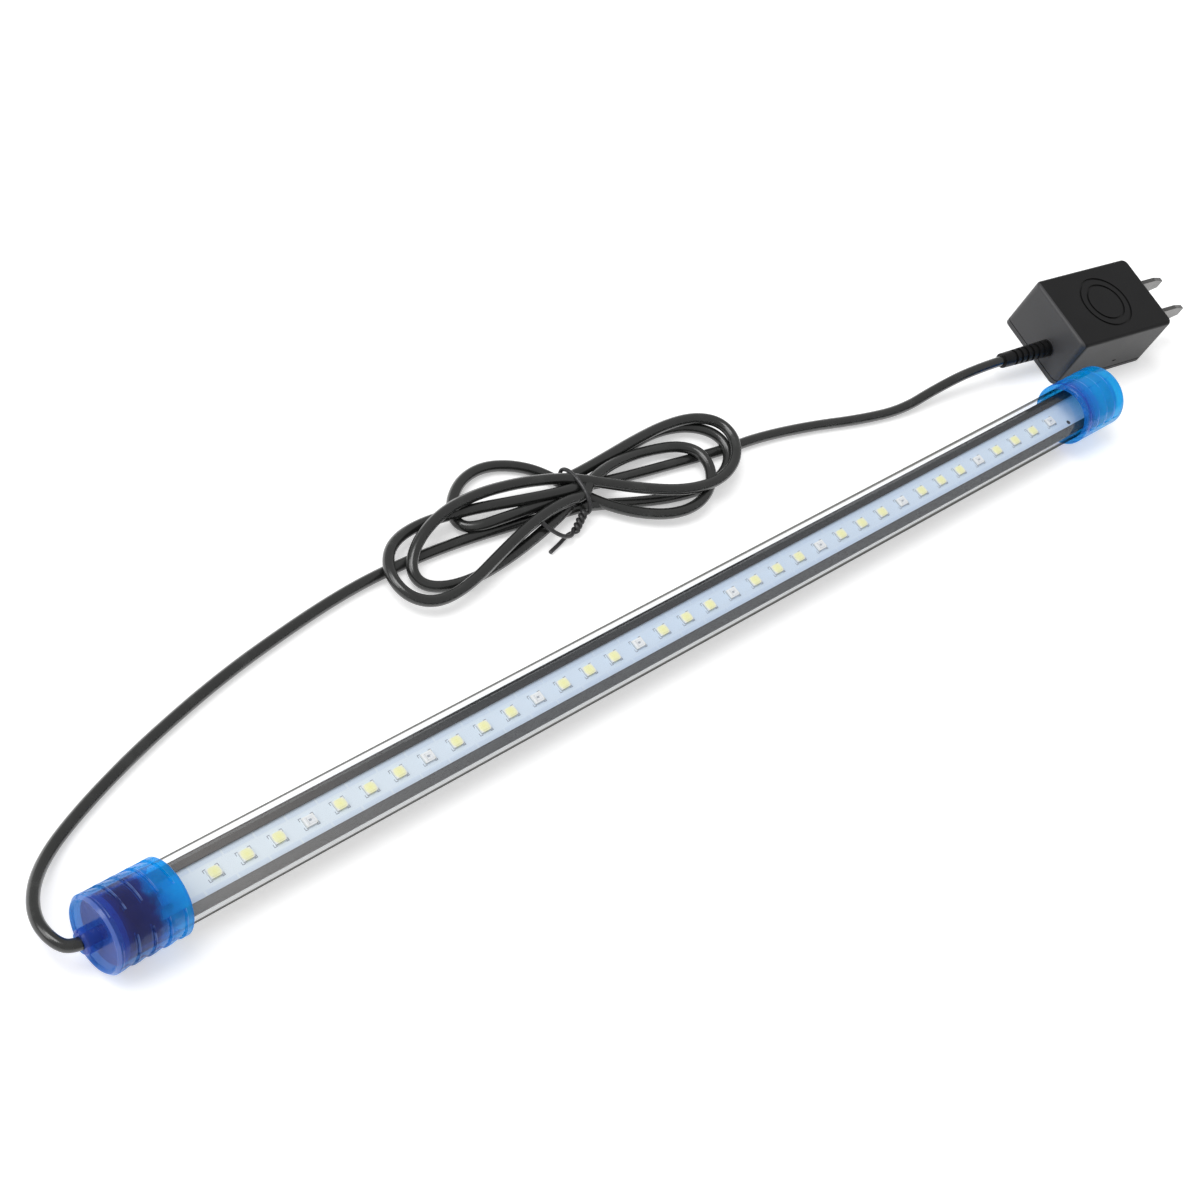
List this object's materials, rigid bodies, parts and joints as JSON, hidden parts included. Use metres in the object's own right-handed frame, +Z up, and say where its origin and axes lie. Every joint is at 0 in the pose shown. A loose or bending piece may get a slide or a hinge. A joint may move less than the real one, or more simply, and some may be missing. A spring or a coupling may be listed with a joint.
{
  "type": "led aquarium light",
  "caption": "Sealed clear tube light bar with two translucent blue end caps, a white LED board inside, a tied black cord and a plug-in mains adapter.",
  "frame": {"origin": "under the middle of the light bar, on the surface that its two end caps rest on", "axes": "+X along the bar from the cable end to the far end, +Z up, out of the LED board's face"},
  "size_m": [0.4805, 0.0843, 0.021],
  "materials": {
    "clear_plastic": "clear glossy extruded plastic",
    "blue_cap_plastic": "translucent blue glossy plastic",
    "silicone": "milky silicone rubber",
    "potting": "black sealing compound",
    "aluminium_rail": "grey anodised extrusion",
    "board_white": "white solder mask on the LED board",
    "led_body": "white moulded LED package",
    "led_phosphor": "pale yellow phosphor gel",
    "led_clear": "clear gel over a grey chip",
    "solder": "tin solder",
    "red_insulation": "red lead insulation",
    "black_insulation": "black lead insulation",
    "cord_jacket": "black soft PVC cord jacket",
    "tie_coating": "dark plastic over thin wire",
    "adapter_plastic": "black moulded plastic, fine matte grain",
    "plated_brass": "nickel-plated brass",
    "circuit_board": "brown phenolic board",
    "ferrite": "dark ferrite",
    "winding_tape": "yellow tape over copper",
    "capacitor_sleeve": "dark blue shrink sleeve",
    "chip_black": "black epoxy package"
  },
  "bodies": {
    "root": {"clear_tube": "clear_plastic", "cable_end_cap": "blue_cap_plastic", "far_end_cap": "blue_cap_plastic", "cable_end_gasket": "silicone", "far_end_gasket": "silicone", "cable_end_sealant": "potting", "far_end_sealant": "silicone", "heat_sink_rail": "aluminium_rail", "led_board": "board_white", "white_led_bodies": "led_body", "white_led_phosphors": "led_phosphor", "blue_led_bodies": "led_body", "blue_led_lenses": "led_clear", "board_solder_joints": "solder", "board_red_lead": "red_insulation", "board_black_lead": "black_insulation", "cord_cap_end": "cord_jacket", "cord_lead": "cord_jacket", "cord_hank": "cord_jacket", "cord_tail": "cord_jacket", "twist_tie": "tie_coating", "strain_relief": "adapter_plastic", "cord_adapter_end": "cord_jacket", "adapter_case": "adapter_plastic", "adapter_base": "adapter_plastic", "adapter_blades": "plated_brass", "adapter_blade_carrier": "adapter_plastic", "power_board": "circuit_board", "transformer_core": "ferrite", "transformer_winding": "winding_tape", "input_capacitor": "capacitor_sleeve", "output_capacitor": "capacitor_sleeve", "bridge_rectifier": "chip_black", "switching_chip": "chip_black", "mains_wires": "black_insulation", "output_wires": "red_insulation"}
  },
  "joints": []
}
